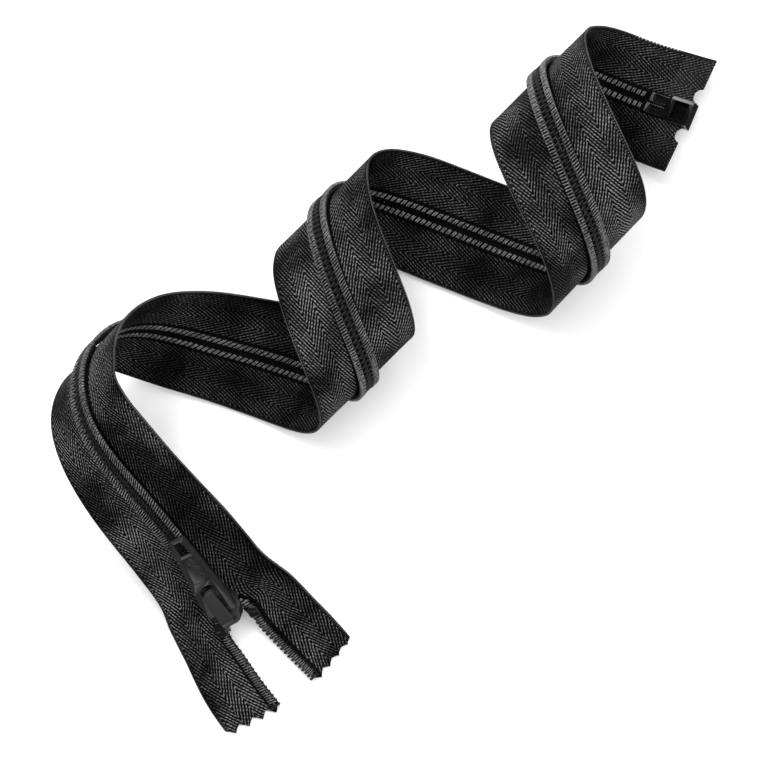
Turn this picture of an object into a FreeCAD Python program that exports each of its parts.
import FreeCAD, Part
import os
import math

# Separating zipper with a nylon coil chain, curled as it comes off a card.
# Frame: +Z up, +X the level direction in which the slider's mouth points,
# +Y to the slider's left, origin under the middle of the whole object on the
# surface that it stands on. All sizes are in millimetres.

V = FreeCAD.Vector
doc = FreeCAD.newDocument("zipper")

# ---------------------------------------------------------------- sheet
sheet = doc.addObject("Spreadsheet::Sheet", "Sizes")
SIZES = [
    ("tape_half", 16.0), ("tape_thick", 0.55), ("tape_edge", 0.6),
    ("coil_near", 0.05), ("coil_far", 2.8), ("coil_low", 0.05), ("coil_top", 2.0),
    ("coil_pitch", 1.518),
    ("cord_near", 0.95), ("cord_far", 1.95), ("cord_low", 0.5), ("cord_top", 1.2),
    ("bore_near", 0.8), ("bore_far", 2.1), ("bore_low", 0.4), ("bore_top", 1.3),
    ("thread_near", 1.2), ("thread_far", 1.7), ("thread_deep", 0.15),
    ("seam_near", 0.9), ("seam_far", 2.3), ("seam_low", 0.62), ("seam_top", 0.575),
    ("stop_wall", 0.33), ("stop_top", 2.55), ("stop_low", 1.2), ("stop_far", 3.0),
    ("film_thick", 0.09), ("film_gap", 0.04), ("film_near", 4.9), ("film_far", 15.7),
    ("pin_near", 0.12), ("pin_far", 3.0), ("pin_top", 2.1), ("pin_low", 1.35),
    ("box_long", 7.0), ("box_wide", 7.2), ("box_top", 2.5), ("box_low", 2.1),
    ("box_rim", 1.1), ("box_sink", 0.7), ("box_bore_wide", 5.6), ("box_bore_top", 1.75), ("box_bore_low", 1.05),
    ("plate_top_low", 2.2), ("plate_thick", 1.0), ("plate_bot_top", 0.95), ("plate_bot_thick", 0.8),
    ("rail_top_low", 0.2), ("rail_bot_top", 0.78), ("rail_wall", 0.45),
    ("slider_tail", 11.0), ("slider_nose", 1.0), ("tail_half", 3.6), ("shoulder_half", 5.05), ("nose_half", 2.2),
    ("wedge_nose", 2.15),
    ("crown_wide", 3.8), ("crown_tail", 10.9), ("crown_front", 0.6), ("crown_under", 5.25), ("crown_thick", 0.75),
    ("hole_half", 0.65), ("spring_thick", 0.16), ("spring_wide", 2.0), ("tooth_tip", 2.1),
    ("pull_pivot_x", 4.2), ("pull_pivot_z", 4.0), ("pull_thick", 1.2), ("pull_long", 24.1),
    ("pull_wide", 9.0), ("pull_narrow", 4.7), ("eye_half", 2.6), ("eye_reach", 8.6), ("bar_radius", 0.58),
    ("panel_sink", 0.25),
]
for row, (alias, value) in enumerate(SIZES, start=1):
    sheet.set("A%d" % row, alias)
    sheet.set("B%d" % row, str(value))
    sheet.setAlias("B%d" % row, alias)
doc.recompute()


def val(alias):
    return float(sheet.get(alias))


# ---------------------------------------------------------------- the laid-out strip
# One row per ruling of the curled strip, from the slider to the retainer box:
# distance along the chain, a point under the chain's middle on the tape's
# front face, the front face's outward normal, the ruling's direction per
# millimetre of width towards the right stringer, and the small corrections
# to the right half width, the left half width and the chain's middle.
STATIONS = [
    (46.77, -13.77, -85.64, 28.46, 0.48, -0.2264, 0.8476, 0.636, -0.934, -0.6097, -0.36, -0.47, 0.07),
    (55.27, -21.45, -85.96, 32.08, 0.3108, -0.3519, 0.8829, 0.5295, -0.9306, -0.5574, -0.45, -0.44, 0.03),
    (63.77, -29.71, -85.63, 34.02, 0.0692, -0.4722, 0.8788, 0.3965, -0.9311, -0.5315, -0.41, -0.38, -0.05),
    (72.28, -37.9, -83.54, 34.67, -0.2248, -0.5189, 0.8248, 0.1308, -0.9303, -0.5496, -0.28, -0.34, -0.08),
    (80.78, -45.15, -79.43, 33.26, -0.632, -0.4269, 0.6468, -0.0078, -0.8732, -0.5839, 0.11, -0.33, 0.13),
    (89.28, -50.03, -73.88, 29.17, -0.9107, -0.2206, 0.3493, -0.0106, -0.861, -0.5716, 0.4, -0.27, 0.34),
    (97.79, -51.84, -68.21, 23.17, -0.9994, -0.0299, 0.0176, 0.0207, -0.9484, -0.4352, 0.58, -0.08, 0.54),
    (106.29, -50.7, -63.07, 16.52, -0.9516, 0.0724, -0.2986, -0.0166, -1.0898, -0.2113, 0.66, 0.6, 0.69),
    (114.79, -47.16, -58.12, 10.62, -0.7871, 0.0979, -0.609, -0.1063, -1.2335, -0.0609, 0.66, 1.05, 0.73),
    (123.3, -41.82, -52.99, 6.47, -0.5382, 0.0794, -0.8391, -0.1477, -1.3351, -0.0316, 0.43, 1.16, 0.69),
    (131.8, -35.69, -47.67, 3.96, -0.3385, 0.0656, -0.9387, -0.0724, -1.3218, -0.0662, 0.06, 1.11, 0.53),
    (140.3, -29.28, -42.26, 2.6, -0.1834, 0.0642, -0.9809, 0.0105, -1.2721, -0.0852, -0.27, 0.92, 0.31),
    (148.81, -22.69, -36.9, 2.23, -0.028, 0.0713, -0.9971, 0.0771, -1.215, -0.089, -0.1, 0.72, 0.28),
    (157.31, -16.05, -31.68, 3.14, 0.1993, 0.09, -0.9758, 0.1266, -1.1701, -0.082, 0.13, 0.55, 0.29),
    (165.81, -9.83, -26.7, 6.02, 0.5125, 0.1237, -0.8497, 0.1737, -1.1279, -0.0595, 0.36, 0.43, 0.41),
    (174.32, -5.16, -22.11, 11.38, 0.8299, 0.1687, -0.5318, 0.2106, -1.0896, -0.017, 0.32, 0.43, 0.52),
    (182.82, -3.64, -18.18, 18.69, 0.9791, 0.2013, -0.0291, 0.2201, -1.0668, 0.0246, 0.14, 0.45, 0.58),
    (191.32, -6.14, -15.07, 26.13, 0.8629, 0.1925, 0.4673, 0.218, -1.0634, 0.0353, -0.1, 0.52, 0.49),
    (199.83, -11.84, -12.62, 31.89, 0.5929, 0.1453, 0.7921, 0.2306, -1.0708, 0.0239, -0.16, 0.51, 0.37),
    (208.33, -19.26, -10.54, 35.42, 0.316, 0.0857, 0.9449, 0.2545, -1.081, 0.013, -0.13, 0.31, 0.26),
    (216.83, -27.41, -8.6, 36.77, 0.031, 0.017, 0.9994, 0.2714, -1.0892, 0.01, -0.07, 0, 0.21),
    (225.34, -35.61, -6.62, 35.85, -0.2725, -0.0578, 0.9604, 0.2597, -1.0907, 0.008, 0.04, -0.19, 0.16),
    (233.84, -43.02, -4.41, 32.56, -0.6181, -0.1345, 0.7745, 0.2242, -1.0842, -0.0094, 0.31, -0.12, 0.05),
    (242.34, -48.3, -1.67, 26.89, -0.9005, -0.1797, 0.396, 0.1951, -1.073, -0.0433, 0.38, -0.07, -0.01),
    (250.85, -50.12, 1.81, 19.78, -0.9811, -0.167, -0.0975, 0.1882, -1.0638, -0.0717, 0.38, -0.03, -0.04),
    (259.35, -48.27, 5.99, 12.88, -0.8449, -0.1132, -0.5229, 0.1888, -1.0663, -0.0743, 0.32, 0.04, -0.07),
    (267.85, -43.69, 10.59, 7.46, -0.5926, -0.051, -0.8039, 0.1815, -1.0781, -0.0654, 0.22, 0.08, -0.09),
    (276.36, -37.52, 15.4, 4.18, -0.3317, -0.0006, -0.9434, 0.1704, -1.0914, -0.0592, 0.12, -0.07, -0.11),
    (284.86, -30.73, 20.28, 2.64, -0.1528, 0.0294, -0.9878, 0.1695, -1.0968, -0.0589, 0.06, -0.15, -0.1),
    (293.36, -23.8, 25.17, 2.23, -0.0312, 0.0497, -0.9983, 0.1878, -1.0883, -0.06, 0.03, -0.19, -0.05),
    (301.87, -16.86, 30.07, 2.58, 0.0807, 0.0704, -0.9943, 0.2152, -1.0725, -0.0585, 0.02, -0.17, 0),
    (310.37, -10.06, 34.93, 3.84, 0.2593, 0.107, -0.9599, 0.2386, -1.0585, -0.0536, 0.01, -0.12, 0.08),
    (318.87, -3.77, 39.62, 6.73, 0.4988, 0.1572, -0.8523, 0.2464, -1.0545, -0.0502, -0.06, -0.04, 0.31),
    (327.38, 1.34, 43.95, 11.64, 0.7312, 0.2006, -0.652, 0.24, -1.0608, -0.0573, -0.14, 0.03, 0.57),
    (335.88, 4.68, 47.79, 18.32, 0.8952, 0.2207, -0.3871, 0.2319, -1.0701, -0.0739, -0.24, 0.1, 0.83),
    (344.38, 5.84, 51.1, 26.04, 0.9737, 0.2139, -0.0784, 0.2292, -1.0766, -0.0901, -0.38, 0.11, 1.04),
    (352.89, 4.57, 53.86, 33.96, 0.9499, 0.1809, 0.2548, 0.2267, -1.0735, -0.0829, -0.52, 0.14, 1.08),
    (361.39, 0.76, 56.12, 41.18, 0.8033, 0.1366, 0.5798, 0.1893, -1.0514, -0.0146, -0.64, 0.21, 0.87),
    (369.89, -5.36, 57.98, 46.74, 0.5551, 0.1043, 0.8252, 0.1166, -1.0289, 0.0515, -0.43, 0.13, 0.58),
    (378.4, -13, 59.54, 50.07, 0.2649, 0.089, 0.9602, 0.0592, -1.0169, 0.0779, 0.03, -0.08, 0.2),
    (386.9, -21.33, 60.86, 50.86, -0.0567, 0.0721, 0.9958, 0.076, -1.0197, 0.0781, 0.21, -0.26, -0.23),
    (395.4, -29.49, 62.02, 48.88, -0.4047, 0.0261, 0.9141, 0.1549, -1.0314, 0.0981, 0.21, -0.29, -0.67),
    (403.91, -36.35, 63.13, 44.01, -0.7241, -0.061, 0.687, 0.2329, -1.0455, 0.1526, -0.05, -0.14, -1.09),
    (412.41, -41.05, 64.47, 37.05, -0.9044, -0.1518, 0.3988, 0.2615, -1.0555, 0.1913, -0.21, -0.16, -1.09),
    (420.91, -43.62, 66.21, 29.11, -0.965, -0.2086, 0.1588, 0.2562, -1.0545, 0.1713, -0.31, -0.28, -0.99),
    (429.42, -44.71, 68.34, 20.95, -0.9716, -0.2358, -0.0216, 0.2512, -1.0467, 0.1262, -0.37, -0.52, -0.77),
    (437.92, -44.11, 70.97, 12.91, -0.9132, -0.2486, -0.323, 0.2567, -1.0322, 0.0689, -0.38, -0.58, -0.54),
    (446.42, -40.71, 74.46, 6.01, -0.6584, -0.197, -0.7265, 0.2835, -1.01, 0.0169, -0.37, -0.5, -0.33),
    (454.93, -34.53, 78.88, 2.4, -0.1748, -0.0416, -0.9837, 0.3543, -0.9645, -0.0221, -0.34, -0.25, -0.24),
    (463.43, -27.54, 83.63, 2.87, 0.1811, 0.1067, -0.9777, 0.4464, -0.9059, -0.0162, -0.24, 0.06, -0.17),
    (471.93, -20.9, 88.29, 5.4, 0.29, 0.1635, -0.943, 0.5151, -0.86, 0.0094, 0.06, 0.2, -0.11),
    (476.61, -17.34, 90.88, 6.96, 0.284, 0.1595, -0.9455, 0.5341, -0.8471, 0.0175, 0.21, 0.24, -0.08),
]
PLANE = dict(
    origin=(26.839, -83.248, 5.388),
    ex=(0.86833, 0.05111, -0.49335),
    ey=(0.06326, 0.97514, 0.21236),
    ez=(0.49194, -0.21561, 0.84351),
    fall=(0.9159, -0.40141, 0),
    level=(0.40141, 0.9159, 0),
    gx=0.91852, gy=-0.39537, ax=0.39537, ay=0.91852, slope=0.56701, q1=3.500, radius=16.7733, flat=0.883)

# ---------------------------------------------------------------- plane of the slider
# The first stretch of the chain and both free ends lie in one sloping plane
# that turns level where the free ends reach the surface.
PO, PX, PY, PZ = (V(*PLANE[k]) for k in ("origin", "ex", "ey", "ez"))
FALL, LEVEL = V(*PLANE["fall"]), V(*PLANE["level"])


def bent(xp, yp, n=0.0):
    """Point at (xp, yp) of the unrolled slider plane, n above its front face."""
    q = xp * PLANE["gx"] + yp * PLANE["gy"]
    r = xp * PLANE["ax"] + yp * PLANE["ay"]
    sl, rad, q1 = PLANE["slope"], PLANE["radius"], PLANE["q1"]
    turn = min(max((q - q1) / rad, 0.0), sl)
    ang = sl - turn
    straight = min(q, q1)
    run = straight * math.cos(sl) + rad * (math.sin(sl) - math.sin(ang)) + max(q - (q1 + rad * sl), 0.0)
    z = PO.z - straight * math.sin(sl) - rad * (math.cos(ang) - math.cos(sl))
    nrm = FALL * math.sin(ang) + V(0, 0, 1) * math.cos(ang)
    return V(PO.x, PO.y, 0) + FALL * run + LEVEL * r + V(0, 0, z) + nrm * n


def lerp(table, x):
    if x <= table[0][0]:
        return table[0][1]
    for (x0, y0), (x1, y1) in zip(table, table[1:]):
        if x <= x1:
            return y0 + (y1 - y0) * (x - x0) / (x1 - x0)
    return table[-1][1]


def chain_y(x):
    """Middle of the closed chain in the slider plane."""
    if x < -34.7:
        return 0.0
    if x < -20.0:
        return -0.0524 / (2 * 14.7) * (x + 34.7) ** 2
    return -0.3851 - 0.0524 * (x + 20.0)


# Inner edge (the coil's hook side) and outer edge of each free end.
IN_L = [(-9, -0.96), (-6.5, -0.5), (-4.5, 0.12), (-3.3, 0.95), (-1.6, 2.7), (0.2, 3.4), (2.5, 3.3), (5, 2.9), (7, 2.8),
        (13, 3.5), (19, 4.8), (24.5, 6.3), (28.1, 7.0), (32, 7.8)]
IN_R = [(-9, -0.96), (-6.5, -1.8), (-4, -3.0), (-2, -4.1), (-0.3, -4.85), (2.6, -5.4), (5.3, -6.0), (9, -5.8),
        (12.8, -5.5), (17, -5.2), (21.8, -4.7), (25.2, -4.2), (32, -3.4)]
OUT_L = [(-60, 15.5), (-46, 15.7), (-37, 16.2), (-28, 16.8), (-16, 16.9), (-11, 16.9), (-7.9, 17.4), (-4.8, 18.3),
         (-1.3, 19.2), (3, 19.6), (9, 20.0), (16, 20.7), (22.5, 21.7), (32, 23.0)]
OUT_R = [(-60, -15.5), (-46, -15.6), (-31, -15.7), (-23, -16.0), (-16, -16.4), (-11.8, -17.1), (-6, -19.2),
         (-0.7, -20.4), (5, -21.0), (9, -21.4), (13, -21.7), (19, -21.7), (26.2, -21.0), (32, -20.2)]


def free_point(side, x0, k, w, n):
    """Point at width w from the inner edge on the section through x0 whose slant is k."""
    inner, outer = (IN_L, OUT_L) if side > 0 else (IN_R, OUT_R)
    x = x0
    for _ in range(12):
        yi = chain_y(x) if x < -9 else lerp(inner, x)
        y = yi + side * min(w, 3.0) + (lerp(outer, x) - yi - side * 3.0) * max(w - 3.0, 0.0) / (val("tape_half") - 3.0)
        x = x0 - k * y
    return bent(x, y, n)


def strip_point(side, st, w, n):
    """Point of the curled strip: side -1 is the right stringer, +1 the left one."""
    sd, px, py, pz, nx, ny, nz, dx, dy, dz, wr, wl, mid = st
    half = val("tape_half")
    if side < 0:
        u = mid + w * (half + wr - mid) / half
    else:
        u = mid - w * (half + wl + mid) / half
    return V(px, py, pz) + V(dx, dy, dz) * u + V(nx, ny, nz) * n


def mix(a, b, f):
    return tuple(p + (q - p) * f for p, q in zip(a, b))


def station(dist):
    for a, b in zip(STATIONS, STATIONS[1:]):
        if dist <= b[0]:
            return mix(a, b, (dist - a[0]) / (b[0] - a[0]))
    return STATIONS[-1]


def skin(rings):
    """Closed solid through rings of points that all run the same way round."""
    faces = []
    count = len(rings[0])
    for a, b in zip(rings, rings[1:]):
        for i in range(count):
            j = (i + 1) % count
            for tri in ((a[i], a[j], b[j]), (a[i], b[j], b[i])):
                faces.append(Part.Face(Part.makePolygon(list(tri) + [tri[0]])))
    return faces


def flat(ring):
    return Part.Face(Part.makePolygon(list(ring) + [ring[0]]))


def ears(outline):
    """Triangles (as corner numbers) that fill a simple polygon."""
    area = sum(a[0] * b[1] - b[0] * a[1] for a, b in zip(outline, outline[1:] + outline[:1]))
    left = list(range(len(outline))) if area > 0 else list(range(len(outline)))[::-1]
    tris = []

    def turn(a, b, c):
        return (b[0] - a[0]) * (c[1] - a[1]) - (b[1] - a[1]) * (c[0] - a[0])

    while len(left) > 3:
        for k in range(len(left)):
            i, j, m = left[k - 1], left[k], left[(k + 1) % len(left)]
            a, b, c = outline[i], outline[j], outline[m]
            if turn(a, b, c) <= 1e-9:
                continue
            if any(turn(a, b, outline[o]) >= -1e-9 and turn(b, c, outline[o]) >= -1e-9
                   and turn(c, a, outline[o]) >= -1e-9 for o in left if o not in (i, j, m)):
                continue
            tris.append((i, j, m))
            left.pop(k)
            break
        else:
            raise RuntimeError("no ear left")
    tris.append(tuple(left))
    return tris


def cap(outline, ring):
    return [Part.Face(Part.makePolygon([ring[i], ring[j], ring[m], ring[i]])) for i, j, m in ears(outline)]


def close(faces):
    shell = Part.makeShell(faces)
    shell.sewShape()
    solid = Part.makeSolid(shell)
    if solid.Volume < 0:
        solid.reverse()
    return solid


def band(outline, points, hole=None):
    """Solid strip of one constant section: points(w, n) gives the rings' points."""
    rings = [[pt(w, n) for w, n in outline] for pt in points]
    if hole is None:
        return close(skin(rings) + cap(outline, rings[0]) + cap(outline, rings[-1]))
    inner = [[pt(w, n) for w, n in hole] for pt in points]
    caps = []
    for ring, bore in ((rings[0], inner[0]), (rings[-1], inner[-1])):
        count = len(ring)
        for i in range(count):
            j = (i + 1) % count
            for tri in ((ring[i], ring[j], bore[j]), (ring[i], bore[j], bore[i])):
                caps.append(Part.Face(Part.makePolygon(list(tri) + [tri[0]])))
    return close(skin(rings) + skin(inner) + caps)


# Sections of the sewn strip: w from the chain's middle, n up from the tape's front.
T, E = val("tape_thick"), val("tape_edge")
TAPE = [(E, 0.0), (3.0, 0.0), (16.0, 0.0), (16.0, -T), (3.0, -T), (E, -T)]
c0, c1, n0, n1 = val("coil_near"), val("coil_far"), val("coil_low"), val("coil_top")
t0, t1, td = val("thread_near"), val("thread_far"), val("thread_deep")
COIL = [(c0, n0 + 0.45), (c0 + 0.35, n0), (c1 - 0.4, n0), (c1, n0 + 0.45), (c1, n1 - 0.5), (c1 - 0.45, n1),
        (t1, n1), (t1, n1 - td), (t0, n1 - td), (t0, n1), (c0 + 0.4, n1), (c0, n1 - 0.45)]
b0, b1, m0, m1 = val("bore_near"), val("bore_far"), val("bore_low"), val("bore_top")
BORE = [(b0, m0 + 0.2), (b0 + 0.1, m0), (b1 - 0.1, m0), (b1, m0 + 0.2), (b1, m1 - 0.2), (b1 - 0.1, m1),
        (b1 - 0.3, m1), (b1 - 0.5, m1), (b0 + 0.5, m1), (b0 + 0.3, m1), (b0 + 0.1, m1), (b0, m1 - 0.2)]
CORD = [(val("cord_near"), val("cord_low") + 0.15), (val("cord_near") + 0.25, val("cord_low")),
        (val("cord_far") - 0.25, val("cord_low")), (val("cord_far"), val("cord_low") + 0.15),
        (val("cord_far"), val("cord_top") - 0.15), (val("cord_far") - 0.25, val("cord_top")),
        (val("cord_near") + 0.25, val("cord_top")), (val("cord_near"), val("cord_top") - 0.15)]
GROOVE = [(t0 + 0.03, n1 - td + 0.03), (t1 - 0.03, n1 - td + 0.03), (t1 - 0.03, n1 - 0.02), (t0 + 0.03, n1 - 0.02)]
SEAM = [(val("seam_near"), -val("seam_low")), (val("seam_far"), -val("seam_low")),
        (val("seam_far"), -val("seam_top")), (val("seam_near"), -val("seam_top"))]
sf, sw, stt, stl = val("stop_far"), val("stop_wall"), val("stop_top"), val("stop_low")
STOP = [(-sw, -stl), (sf, -stl), (sf, -T - 0.1), (0.02, -T - 0.1), (0.02, n1 + 0.04), (sf, n1 + 0.04),
        (sf, stt - 0.3), (sf - 0.4, stt), (0.1, stt), (-sw, stt - 0.4)]
f0, f1, ft, fg = val("film_near"), val("film_far"), val("film_thick"), val("film_gap")
FILM_BACK = [(f0, -T - fg - ft), (f1, -T - fg - ft), (f1, -T - fg), (f0, -T - fg)]
FILM_FRONT = [(f0, fg), (f1, fg), (f1, fg + ft), (f0, fg + ft)]
p0, p1, pt_, pl_ = val("pin_near"), val("pin_far"), val("pin_top"), val("pin_low")
PIN = [(p0, -pl_), (p1 - 0.2, -pl_), (p1, -pl_ + 0.2), (p1, -T - 0.06), (E - 0.04, -T - 0.06), (E - 0.04, 0.05),
       (p1, 0.05), (p1, pt_ - 0.3), (p1 - 0.3, pt_), (p0 + 0.2, pt_), (p0, pt_ - 0.2)]

PIN_START, BOX_START = 462.9, 470.3
FREE = [(-46.8, 0.81), (-42.5, 0.62), (-38.0, 0.42), (-33.5, 0.24), (-29.0, 0.09), (-25.0, 0.0), (-21.0, 0.0),
        (-17.0, 0.0), (-13.0, 0.0), (-9.0, 0.0), (-6.5, 0.0), (-4.5, 0.0), (-3.0, 0.0), (-1.6, 0.0), (-0.3, 0.0),
        (1.0, 0.0), (2.4, 0.0), (3.8, 0.0), (5.3, 0.0), (7.5, 0.0), (10.0, 0.0), (12.5, 0.0), (15.0, 0.0),
        (17.5, 0.0)]
FREE_L = FREE + [(20.0, 0.02), (22.4, 0.08), (25.4, 0.18), (27.8, 0.26), (30.0, 0.34)]
FREE_R = FREE + [(20.0, 0.0), (22.5, -0.02), (25.2, -0.05), (26.8, -0.07), (28.4, -0.095)]


def feature(label, solids):
    obj = doc.addObject("Part::Feature", label)
    obj.Label = label
    obj.Shape = solids[0] if len(solids) == 1 else Part.makeCompound(solids)
    obj.Placement = FreeCAD.Placement()
    return obj


nodes = []
for side, name, free in ((1, "left", FREE_L), (-1, "right", FREE_R)):
    rows = [STATIONS[0]] + list(STATIONS[1:-1]) + [STATIONS[-1]]
    main = [lambda w, n, st=st, s=side: strip_point(s, st, w, n) for st in rows]
    ends = [lambda w, n, f=f, s=side: free_point(s, f[0], f[1], w, n) for f in free]
    # 0.2 mm is left at the joint between the long part and its end.
    first = mix(STATIONS[0], STATIONS[1], 0.022)
    main[0] = lambda w, n, st=first, s=side: strip_point(s, st, w, n)
    upto = [lambda w, n, st=st, s=side: strip_point(s, st, w, n)
            for st in [first] + [r for r in STATIONS[1:] if r[0] < PIN_START - 1] + [station(PIN_START)]]
    nodes.append(feature(name + "_tape", [band(TAPE, main)]))
    nodes.append(feature(name + "_coil", [band(COIL, upto, BORE)]))
    nodes.append(feature(name + "_filler_cord", [band(CORD, upto)]))
    nodes.append(feature(name + "_sewing_thread", [band(GROOVE, upto), band(SEAM, upto)]))
    nodes.append(feature(name + "_tape_end", [band(TAPE, ends)]))
    nodes.append(feature(name + "_coil_end", [band(COIL, ends, BORE)]))
    nodes.append(feature(name + "_cord_end", [band(CORD, ends)]))
    nodes.append(feature(name + "_thread_end", [band(GROOVE, ends), band(SEAM, ends)]))
    stop_x = (-1.6, -0.3, 1.0, 2.4) if side > 0 else (-0.3, 1.0, 2.4, 3.8)
    stop = [lambda w, n, x=x, s=side: free_point(s, x, 0.0, w, n) for x in stop_x]
    nodes.append(feature(name + "_top_stop", [band(STOP, stop)]))
    film = [lambda w, n, st=station(x), s=side: strip_point(s, st, w, n)
            for x in ((466.2, 471.9, 476.3) if side > 0 else (468.5, 471.9, 476.3))]
    nodes.append(feature(name + "_film", [band(FILM_BACK, film), band(FILM_FRONT, film)]))
    pin = [lambda w, n, st=station(x), s=side: strip_point(s, st, w, n)
           for x in (PIN_START + 0.08, 463.43, 467.6, BOX_START - 0.06)]
    nodes.append(feature("insertion_pin" if side > 0 else "retaining_pin", [band(PIN, pin)]))

# ---------------------------------------------------------------- moulded parts
def body_at(label, place):
    body = doc.addObject("PartDesign::Body", label)
    body.Label = label
    body.Placement = place
    return body


def plane_of(body, role):
    for item in body.Origin.OriginFeatures:
        if item.Role == role:
            return item
    raise RuntimeError(role)


def bind(text):
    """Expression with every sheet alias written as Sizes.alias."""
    out, word = "", ""
    for ch in text + " ":
        if ch.isalnum() or ch == "_":
            word += ch
        else:
            out += ("Sizes." + word if word and not word[0].isdigit() else word) + ch
            word = ""
    return out.strip()


def reckon(text):
    total = text
    for alias, _ in sorted(SIZES, key=lambda r: -len(r[0])):
        total = total.replace(alias, "(%r)" % val(alias)) if alias in total else total
    value, sign, number = 0.0, 1.0, ""
    for part in total.replace("(", "").replace(")", "").replace("-", " - ").replace("+", " + ").split():
        if part == "-":
            sign = -sign
        elif part == "+":
            pass
        else:
            if "*" in part:
                a, b = part.split("*")
                value += sign * float(a) * float(b)
            elif "/" in part:
                a, b = part.split("/")
                value += sign * float(a) / float(b)
            else:
                value += sign * float(part)
            sign = 1.0
    return value


def outline(body, name, corners, role="XY_Plane", offset=None):
    """Closed polygon sketch; each corner coordinate is a sum of sheet sizes and is held by a driven distance."""
    sk = body.newObject("Sketcher::SketchObject", name)
    sk.AttachmentSupport = [(plane_of(body, role), "")]
    sk.MapMode = "FlatFace"
    if offset is not None:
        sk.setExpression("AttachmentOffset.Base.z", bind(offset))
    pts = [V(reckon(x), reckon(y), 0) for x, y in corners]
    count = len(pts)
    for i in range(count):
        sk.addGeometry(Part.LineSegment(pts[i], pts[(i + 1) % count]), False)
    for i in range(count):
        sk.addConstraint(Sketcher.Constraint("Coincident", i, 2, (i + 1) % count, 1))
    for i, (x, y) in enumerate(corners):
        for kind, text in (("DistanceX", x), ("DistanceY", y)):
            value = reckon(text)
            if abs(value) < 1e-9:
                sk.addConstraint(Sketcher.Constraint("PointOnObject", i, 1, -2 if kind == "DistanceX" else -1))
                continue
            c = sk.addConstraint(Sketcher.Constraint(kind, -1, 1, i, 1, value))
            if any(ch.isalpha() for ch in text):
                sk.setExpression("Constraints[%d]" % c, bind(text))
    return sk


def pad(body, name, sk, length, mid=False, rev=False):
    f = body.newObject("PartDesign::Pad", name)
    f.Profile = sk
    f.setExpression("Length", bind(length))
    f.Midplane = mid
    f.Reversed = rev
    doc.recompute()
    return f


def pocket(body, name, sk, length, mid=False, rev=False):
    f = body.newObject("PartDesign::Pocket", name)
    f.Profile = sk
    f.setExpression("Length", bind(length))
    f.Midplane = mid
    f.Reversed = rev
    before = body.Shape.Volume
    doc.recompute()
    if not body.Shape.Volume < before - 1e-4:
        raise RuntimeError(name + " cuts nothing")
    return f


import Sketcher

# Slider frame: x along the slider towards its mouth, y to its left, z up off the tape.
yaw = math.radians(-3.0)
SX = PX * math.cos(yaw) + PY * math.sin(yaw)
SY = PY * math.cos(yaw) - PX * math.sin(yaw)
SO = PO + PY * (-1.4)
at_slider = FreeCAD.Placement(SO, FreeCAD.Rotation(SX, SY, PZ, "ZXY"))

body = body_at("slider_body", at_slider)
plate = [("-slider_tail", "-tail_half"), ("-8.5", "-tail_half"), ("-4.6", "-shoulder_half"), ("-3.4", "-shoulder_half"),
         ("-1.7", "-3.4"), ("slider_nose", "-nose_half"), ("slider_nose", "nose_half"), ("-1.7", "3.4"),
         ("-3.4", "shoulder_half"), ("-4.6", "shoulder_half"), ("-8.5", "tail_half"), ("-slider_tail", "tail_half")]
pad(body, "TopPlate", outline(body, "TopPlateSketch", plate, offset="plate_top_low"), "plate_thick")
wedge = [("-6.6", "-0.3"), ("-4.2", "-0.95"), ("-2.2", "-wedge_nose"), ("slider_nose", "-wedge_nose"),
         ("slider_nose", "wedge_nose"), ("-2.2", "wedge_nose"), ("-4.2", "0.95"), ("-6.6", "0.3")]
pad(body, "Wedge", outline(body, "WedgeSketch", wedge, offset="-plate_bot_top-0.2"), "plate_bot_top+plate_top_low+0.4")
pad(body, "BottomPlate", outline(body, "BottomPlateSketch", plate, offset="-plate_bot_top-plate_bot_thick"),
    "plate_bot_thick")
for sgn, tag in (("", "Left"), ("-", "Right")):
    neg = "-" if sgn else ""
    rail = [("-slider_tail", neg + "tail_half"), ("-8.5", neg + "tail_half"), ("-4.6", neg + "shoulder_half"),
            ("-4.6", neg + ("shoulder_half-rail_wall" if not neg else "shoulder_half+rail_wall")),
            ("-6.4", neg + "3.85"), ("-8.5", neg + ("tail_half-rail_wall" if not neg else "tail_half+rail_wall")),
            ("-slider_tail", neg + ("tail_half-rail_wall" if not neg else "tail_half+rail_wall"))]
    pad(body, "TopRail" + tag, outline(body, "TopRailSketch" + tag, rail, offset="rail_top_low"),
        "plate_top_low-rail_top_low+0.1")
    pad(body, "BottomRail" + tag, outline(body, "BottomRailSketch" + tag, rail, offset="-plate_bot_top-0.1"),
        "plate_bot_top-rail_bot_top+0.1")
pocket(body, "ToothHole", outline(body, "ToothHoleSketch", [("-8.4", "-hole_half"), ("-7.0", "-hole_half"),
       ("-7.0", "hole_half"), ("-8.4", "hole_half")], offset="plate_top_low+plate_thick+0.1"), "plate_thick+0.3")
nodes.append(body)

# Crown: the bridge over the top plate that keeps the pull and covers the lock spring.
body = body_at("slider_crown", at_slider)
arch = [("-crown_tail", "3.22"), ("-crown_tail", "crown_under-0.5"), ("-crown_tail+0.9", "crown_under+crown_thick"),
        ("-0.9", "crown_under+crown_thick"), ("0.1", "crown_under+crown_thick-0.4"), ("crown_front", "crown_under-0.6"),
        ("crown_front", "3.22"), ("-0.5", "3.22"), ("-0.5", "crown_under-0.35"), ("-0.9", "crown_under"),
        ("-crown_tail+1.0", "crown_under"), ("-crown_tail+0.65", "crown_under-0.45"), ("-crown_tail+0.65", "3.22")]
pad(body, "Arch", outline(body, "ArchSketch", arch, role="XZ_Plane"), "crown_wide", mid=True)
nodes.append(body)

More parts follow.
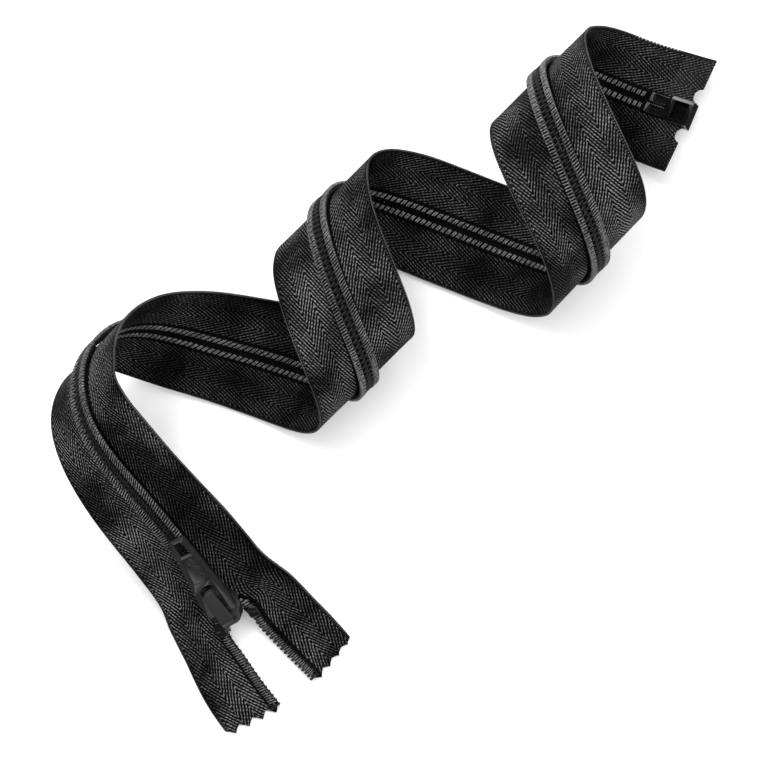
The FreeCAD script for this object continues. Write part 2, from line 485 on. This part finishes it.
# Lock spring: a leaf under the crown whose tooth reaches down between the coils.
body = body_at("lock_spring", at_slider)
leaf = [("-8.15", "4.72"), ("-8.15", "tooth_tip"), ("-7.75", "tooth_tip"), ("-7.45", "4.0"), ("-7.45", "4.72"),
        ("-0.75", "4.72"), ("-0.75", "4.72+spring_thick"), ("-8.15", "4.72+spring_thick")]
leaf = [("-8.15", "4.88"), ("-8.15", "tooth_tip"), ("-7.75", "tooth_tip"), ("-7.5", "3.4"), ("-7.5", "4.72"),
        ("-0.75", "4.72"), ("-0.75", "4.88")]
pad(body, "Leaf", outline(body, "LeafSketch", leaf, role="XZ_Plane"), "hole_half+0.35", mid=True)
nodes.append(body)

# Pull: a tapered tab with an eye for the crown, a bar under it and a hole near its free end.
# It hangs loosely and lies turned a little to the slider's left.
lean = FreeCAD.Rotation(V(0, 0, 1), -4.5)
at_pull = at_slider * FreeCAD.Placement(V(-4.2, 0, 0), lean) * FreeCAD.Placement(V(4.2, 0, 0), FreeCAD.Rotation())
body = body_at("pull_tab", at_pull)
tab = [("-pull_pivot_x-pull_long", "-pull_narrow/2+0.5"), ("-pull_pivot_x-pull_long+0.5", "-pull_narrow/2"),
       ("-11.0", "-pull_wide/2+0.15"), ("-pull_pivot_x-3.2", "-pull_wide/2"), ("-pull_pivot_x+0.1", "-pull_wide/2"),
       ("-pull_pivot_x+0.55", "-pull_wide/2+0.45"), ("-pull_pivot_x+0.55", "pull_wide/2-0.45"),
       ("-pull_pivot_x+0.1", "pull_wide/2"), ("-pull_pivot_x-3.2", "pull_wide/2"), ("-11.0", "pull_wide/2-0.15"),
       ("-pull_pivot_x-pull_long+0.5", "pull_narrow/2"), ("-pull_pivot_x-pull_long", "pull_narrow/2-0.5")]
pad(body, "Tab", outline(body, "TabSketch", tab, offset="pull_pivot_z-0.6"), "pull_thick")
eye = [("-pull_pivot_x-eye_reach", "-0.9"), ("-pull_pivot_x-eye_reach+0.5", "-eye_half+0.5"),
       ("-pull_pivot_x-eye_reach+1.2", "-eye_half"), ("-pull_pivot_x+1", "-eye_half"), ("-pull_pivot_x+1", "eye_half"),
       ("-pull_pivot_x-eye_reach+1.2", "eye_half"), ("-pull_pivot_x-eye_reach+0.5", "eye_half-0.5"),
       ("-pull_pivot_x-eye_reach", "0.9")]
pocket(body, "Eye", outline(body, "EyeSketch", eye, offset="pull_pivot_z+1"), "2")
pocket(body, "EndHole", outline(body, "EndHoleSketch", [("-27.2", "-1.4"), ("-23.1", "-1.5"), ("-23.1", "1.5"),
       ("-27.2", "1.4")], offset="pull_pivot_z+1"), "2")
pocket(body, "Panel", outline(body, "PanelSketch", [("-22.2", "-1.9"), ("-14.2", "-2.7"), ("-14.2", "2.7"),
       ("-22.2", "1.9")], offset="pull_pivot_z+0.6"), "panel_sink")
bar = body.newObject("Sketcher::SketchObject", "BarSketch")
bar.AttachmentSupport = [(plane_of(body, "XZ_Plane"), "")]
bar.MapMode = "FlatFace"
bar.addGeometry(Part.Circle(V(-val("pull_pivot_x"), val("pull_pivot_z"), 0), V(0, 0, 1), val("bar_radius")), False)
k = bar.addConstraint(Sketcher.Constraint("Radius", 0, val("bar_radius")))
bar.setExpression("Constraints[%d]" % k, "Sizes.bar_radius")
k = bar.addConstraint(Sketcher.Constraint("DistanceX", -1, 1, 0, 3, -val("pull_pivot_x")))
bar.setExpression("Constraints[%d]" % k, "-Sizes.pull_pivot_x")
k = bar.addConstraint(Sketcher.Constraint("DistanceY", -1, 1, 0, 3, val("pull_pivot_z")))
bar.setExpression("Constraints[%d]" % k, "Sizes.pull_pivot_z")
pad(body, "Bar", bar, "eye_half*2+0.6", mid=True)
nodes.append(body)

# Retainer box at the chain's lower end: frame with x along the chain, y towards
# the right stringer, z off the front face.
mid_st = station(473.8)
BN = V(mid_st[4], mid_st[5], mid_st[6])
BX = strip_point(-1, station(476.4), 0, 0) - strip_point(-1, station(470.0), 0, 0)
BX = BX - BN * BX.dot(BN)
BX.normalize()
BN.normalize()
BY = BN.cross(BX)
BO = strip_point(-1, mid_st, 0, 0)
body = body_at("retainer_box", FreeCAD.Placement(BO, FreeCAD.Rotation(BX, BY, BN, "ZXY")))
hw = "box_wide/2"
block = [("-3.5", "-box_wide/2+0.3"), ("-3.2", "-box_wide/2"), ("3.0", "-box_wide/2"), ("3.5", "-box_wide/2+0.5"),
         ("3.5", "box_wide/2-0.5"), ("3.0", "box_wide/2"), ("-3.2", "box_wide/2"), ("-3.5", "box_wide/2-0.3")]
pad(body, "Block", outline(body, "BlockSketch", block, offset="-box_low"), "box_low+box_top")
pocket(body, "PinBore", outline(body, "PinBoreSketch", [("-3.6", "-3.12"), ("1.9", "-3.12"), ("1.9", "3.12"),
       ("-3.6", "3.12")], offset="pin_top+0.06"), "pin_top+pin_low+0.12")
pocket(body, "TapeSlot", outline(body, "TapeSlotSketch", [("-3.6", "-4"), ("2.95", "-4"), ("2.95", "4"),
       ("-3.6", "4")], offset="0.07"), "tape_thick+0.15")
pocket(body, "Window", outline(body, "WindowSketch", [("-2.3", "-2.3"), ("2.1", "-2.3"), ("2.1", "2.3"),
       ("-2.3", "2.3")], offset="-box_low+0.35"), "0.5")
nodes.append(body)

doc.recompute()

# Round notches beside the box in the end of each tape and its film.
done = {}
for name, side in (("left", 1), ("right", -1)):
    centre = BO - BY * (side * 5.6) + BX * (strip_point(side, STATIONS[-1], 5.6, 0) - BO).dot(BX)
    ring = [centre - BN * 2 + BX * (2.0 * math.cos(a)) + BY * (2.0 * math.sin(a))
            for a in [math.pi * i / 8 + 0.05 for i in range(16)]]
    prism = flat(ring).extrude(BN * 4)
    for label in (name + "_tape", name + "_film"):
        obj = doc.getObject(label)
        obj.Shape = obj.Shape.cut(prism)

for obj in doc.Objects:
    state = list(obj.State)
    if "Invalid" in state or "Error" in state:
        raise RuntimeError("%s: %s" % (obj.Label, state))
for obj in nodes:
    if obj.Shape.isNull() or not obj.Shape.isValid():
        raise RuntimeError("%s has no valid shape" % obj.Label)
    for solid in obj.Shape.Solids:
        if solid.Volume <= 0:
            raise RuntimeError("%s has a solid of no volume" % obj.Label)

os.makedirs("parts", exist_ok=True)
low, high = [1e9] * 3, [-1e9] * 3
for obj in nodes:
    obj.Shape.exportStep("parts/%s.step" % obj.Label)
    box = obj.Shape.BoundBox
    low = [min(a, b) for a, b in zip(low, (box.XMin, box.YMin, box.ZMin))]
    high = [max(a, b) for a, b in zip(high, (box.XMax, box.YMax, box.ZMax))]
    print("%-22s %2d solids %9.2f mm3  box %s" % (obj.Label, len(obj.Shape.Solids), obj.Shape.Volume,
          " ".join("%.1f" % v for v in (box.XMin, box.YMin, box.ZMin, box.XMax, box.YMax, box.ZMax))))
print("whole box", [round(v, 3) for v in low + high])
print("slider frame", SO, SX, SY, PZ)
